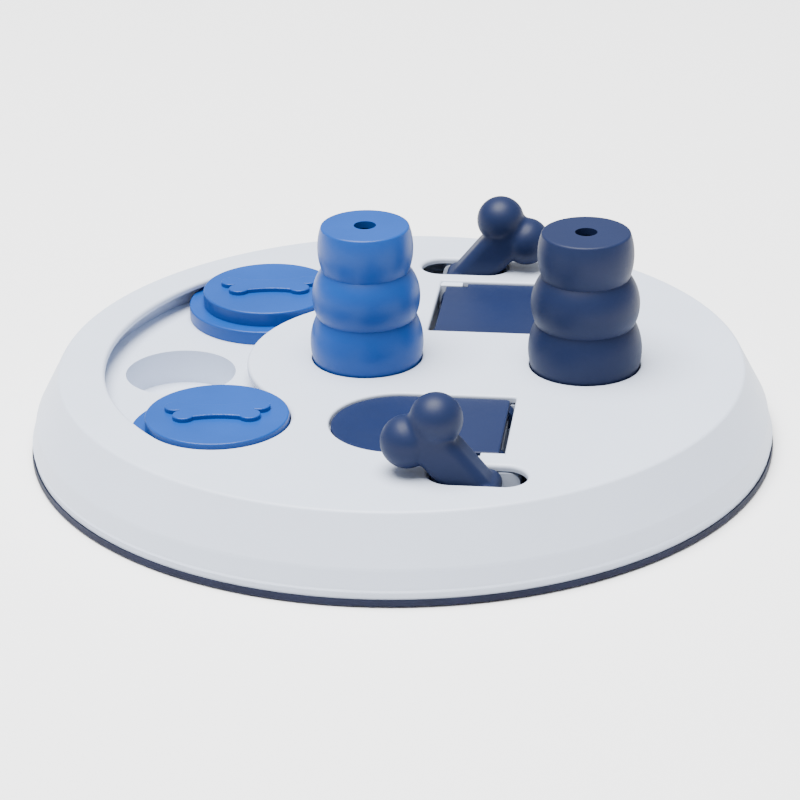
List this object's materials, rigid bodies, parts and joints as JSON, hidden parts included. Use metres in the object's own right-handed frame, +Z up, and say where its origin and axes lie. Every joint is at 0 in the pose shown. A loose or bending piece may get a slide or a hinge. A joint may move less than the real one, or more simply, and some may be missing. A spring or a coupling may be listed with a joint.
{
  "type": "dog puzzle feeder board",
  "caption": "Round two-part treat board with two sliding covers on a curved track, two lift-off cones and two hinged lids worked by bone-shaped levers.",
  "frame": {"origin": "centre of the board's resting face, on the underside of the anti-slip ring", "axes": "+Z up, +X along the two flaps towards the dark cone, -Y towards the front lever; the curved slider track is on the -X side"},
  "size_m": [0.2298, 0.2298, 0.0685],
  "materials": {
    "white_plastic": "satin moulded white",
    "navy_rubber": "matte anti-slip rubber",
    "zinc_steel": "bright zinc",
    "light_blue_plastic": "satin moulded light blue",
    "dark_blue_plastic": "satin moulded dark blue",
    "shaft_steel": "plain steel pin"
  },
  "bodies": {
    "board": {"top_shell": "white_plastic", "base_tray": "white_plastic", "anti_slip_ring": "navy_rubber", "base_screws": "zinc_steel"},
    "front_slider": {"front_slider": "light_blue_plastic"},
    "back_slider": {"back_slider": "light_blue_plastic"},
    "light_cone": {"light_cone": "light_blue_plastic"},
    "dark_cone": {"dark_cone": "dark_blue_plastic"},
    "front_flap": {"front_lid": "dark_blue_plastic", "front_lever": "dark_blue_plastic", "front_hinge_shaft": "shaft_steel"},
    "back_flap": {"back_lid": "dark_blue_plastic", "back_lever": "dark_blue_plastic", "back_hinge_shaft": "shaft_steel"}
  },
  "joints": [
    {"name": "front_slider_travel", "type": "hinge", "parent": "board", "child": "front_slider", "pos_m": [0, 0.0024, 0], "axis": [0, 0, 1], "range_deg": [-45, 0]},
    {"name": "back_slider_travel", "type": "hinge", "parent": "board", "child": "back_slider", "pos_m": [0, 0.0024, 0], "axis": [0, 0, 1], "range_deg": [0, 45]},
    {"name": "light_cone_lift", "type": "slide", "parent": "board", "child": "light_cone", "axis": [0, 0, 1], "range_m": [0, 0.08]},
    {"name": "dark_cone_lift", "type": "slide", "parent": "board", "child": "dark_cone", "axis": [0, 0, 1], "range_m": [0, 0.08]},
    {"name": "front_flap_hinge", "type": "hinge", "parent": "board", "child": "front_flap", "pos_m": [0.034, -0.079, 0.0205], "axis": [0, 1, 0], "range_deg": [0, 75]},
    {"name": "back_flap_hinge", "type": "hinge", "parent": "board", "child": "back_flap", "pos_m": [0.0092, 0.079, 0.0205], "axis": [0, -1, 0], "range_deg": [0, 75]}
  ]
}
